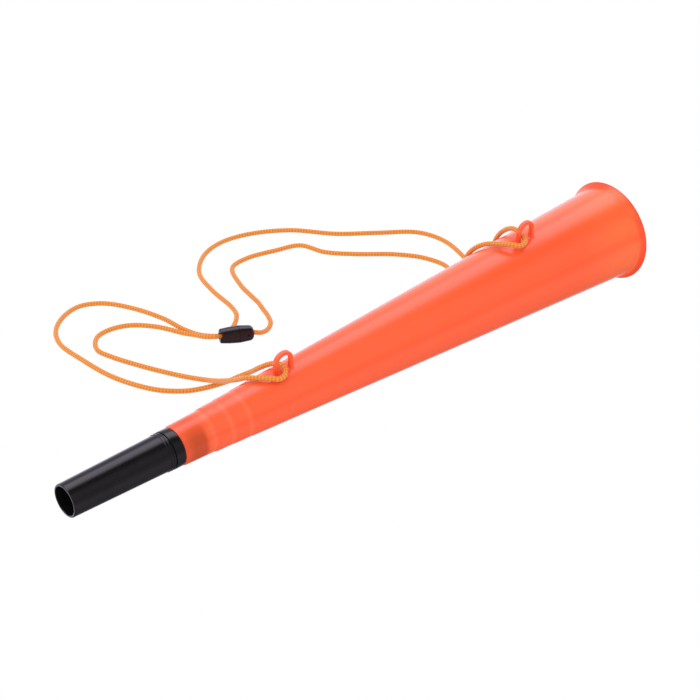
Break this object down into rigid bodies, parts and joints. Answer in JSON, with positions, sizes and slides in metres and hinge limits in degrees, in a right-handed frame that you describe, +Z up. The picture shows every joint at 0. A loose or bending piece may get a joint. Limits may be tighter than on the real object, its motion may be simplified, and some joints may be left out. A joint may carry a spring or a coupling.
{
  "type": "vuvuzela",
  "caption": "Conical plastic blowing horn with a black reed mouthpiece, a flared bell and moulded eyelets that carry a neck cord with a safety clasp.",
  "frame": {"origin": "on the ground under the middle of the horn's length", "axes": "+X along the ground from the mouthpiece toward the bell, +Z up, the neck cord lies on the +Y side"},
  "size_m": [0.3864, 0.2121, 0.0621],
  "materials": {
    "orange_plastic": "translucent gloss",
    "black_plastic": "semi-gloss",
    "reed_plastic": "matte",
    "cord_fabric": "braided",
    "clasp_plastic": "gloss"
  },
  "bodies": {
    "horn": {"horn_cone": "orange_plastic", "cord_near": "cord_fabric", "cord_between": "cord_fabric", "cord_far": "cord_fabric", "clasp_socket_half": "clasp_plastic"},
    "mouthpiece": {"mouthpiece_tube": "black_plastic", "reed_holder": "black_plastic", "reed_shallot": "black_plastic", "reed_wedge": "black_plastic"},
    "reed": {"reed_tongue": "reed_plastic"},
    "clasp_plug": {"clasp_plug_half": "clasp_plastic"}
  },
  "joints": [
    {"name": "mouthpiece_slide", "type": "slide", "parent": "horn", "child": "mouthpiece", "axis": [-0.9985, 0, -0.0543], "range_m": [0, 0.016]},
    {"name": "reed_flex", "type": "hinge", "parent": "mouthpiece", "child": "reed", "pos_m": [-0.1379, 0, 0.01248], "axis": [0, -1, 0], "range_deg": [0, 2], "stiffness_Nm_per_rad": 0.002},
    {"name": "clasp_release", "type": "slide", "parent": "horn", "child": "clasp_plug", "axis": [0.887, -0.4617, 0], "range_m": [0, 0.009], "deforming": ["cord_far"]}
  ]
}
